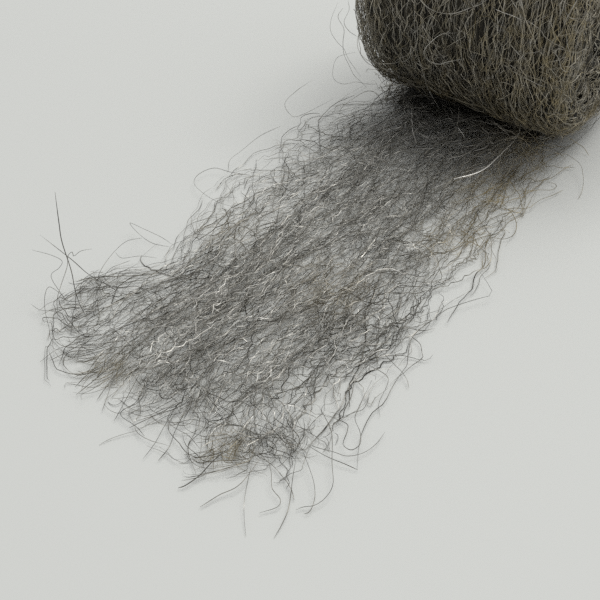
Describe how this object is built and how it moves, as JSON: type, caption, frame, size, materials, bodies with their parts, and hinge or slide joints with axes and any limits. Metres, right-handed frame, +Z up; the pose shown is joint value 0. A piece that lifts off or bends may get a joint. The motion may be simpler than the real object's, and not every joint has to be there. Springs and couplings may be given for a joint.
{
  "type": "steel wool roll",
  "caption": "Roll of loose steel wool ribbon lying on its side, its outer turn unrolled flat from under it and torn off.",
  "frame": {"origin": "on the surface it lies on, straight below the middle of the roll's axis", "axes": "+X along the roll's axis, -Y along the unrolled tail, +Z up"},
  "size_m": [0.1137, 0.303, 0.1267],
  "materials": {
    "steel_wool": "loose mass of shaved low-carbon steel fibres, dull grey with small bright glints and a few rust-brown patches"
  },
  "bodies": {
    "root": {"steel_wool_roll": "steel_wool"}
  },
  "joints": []
}
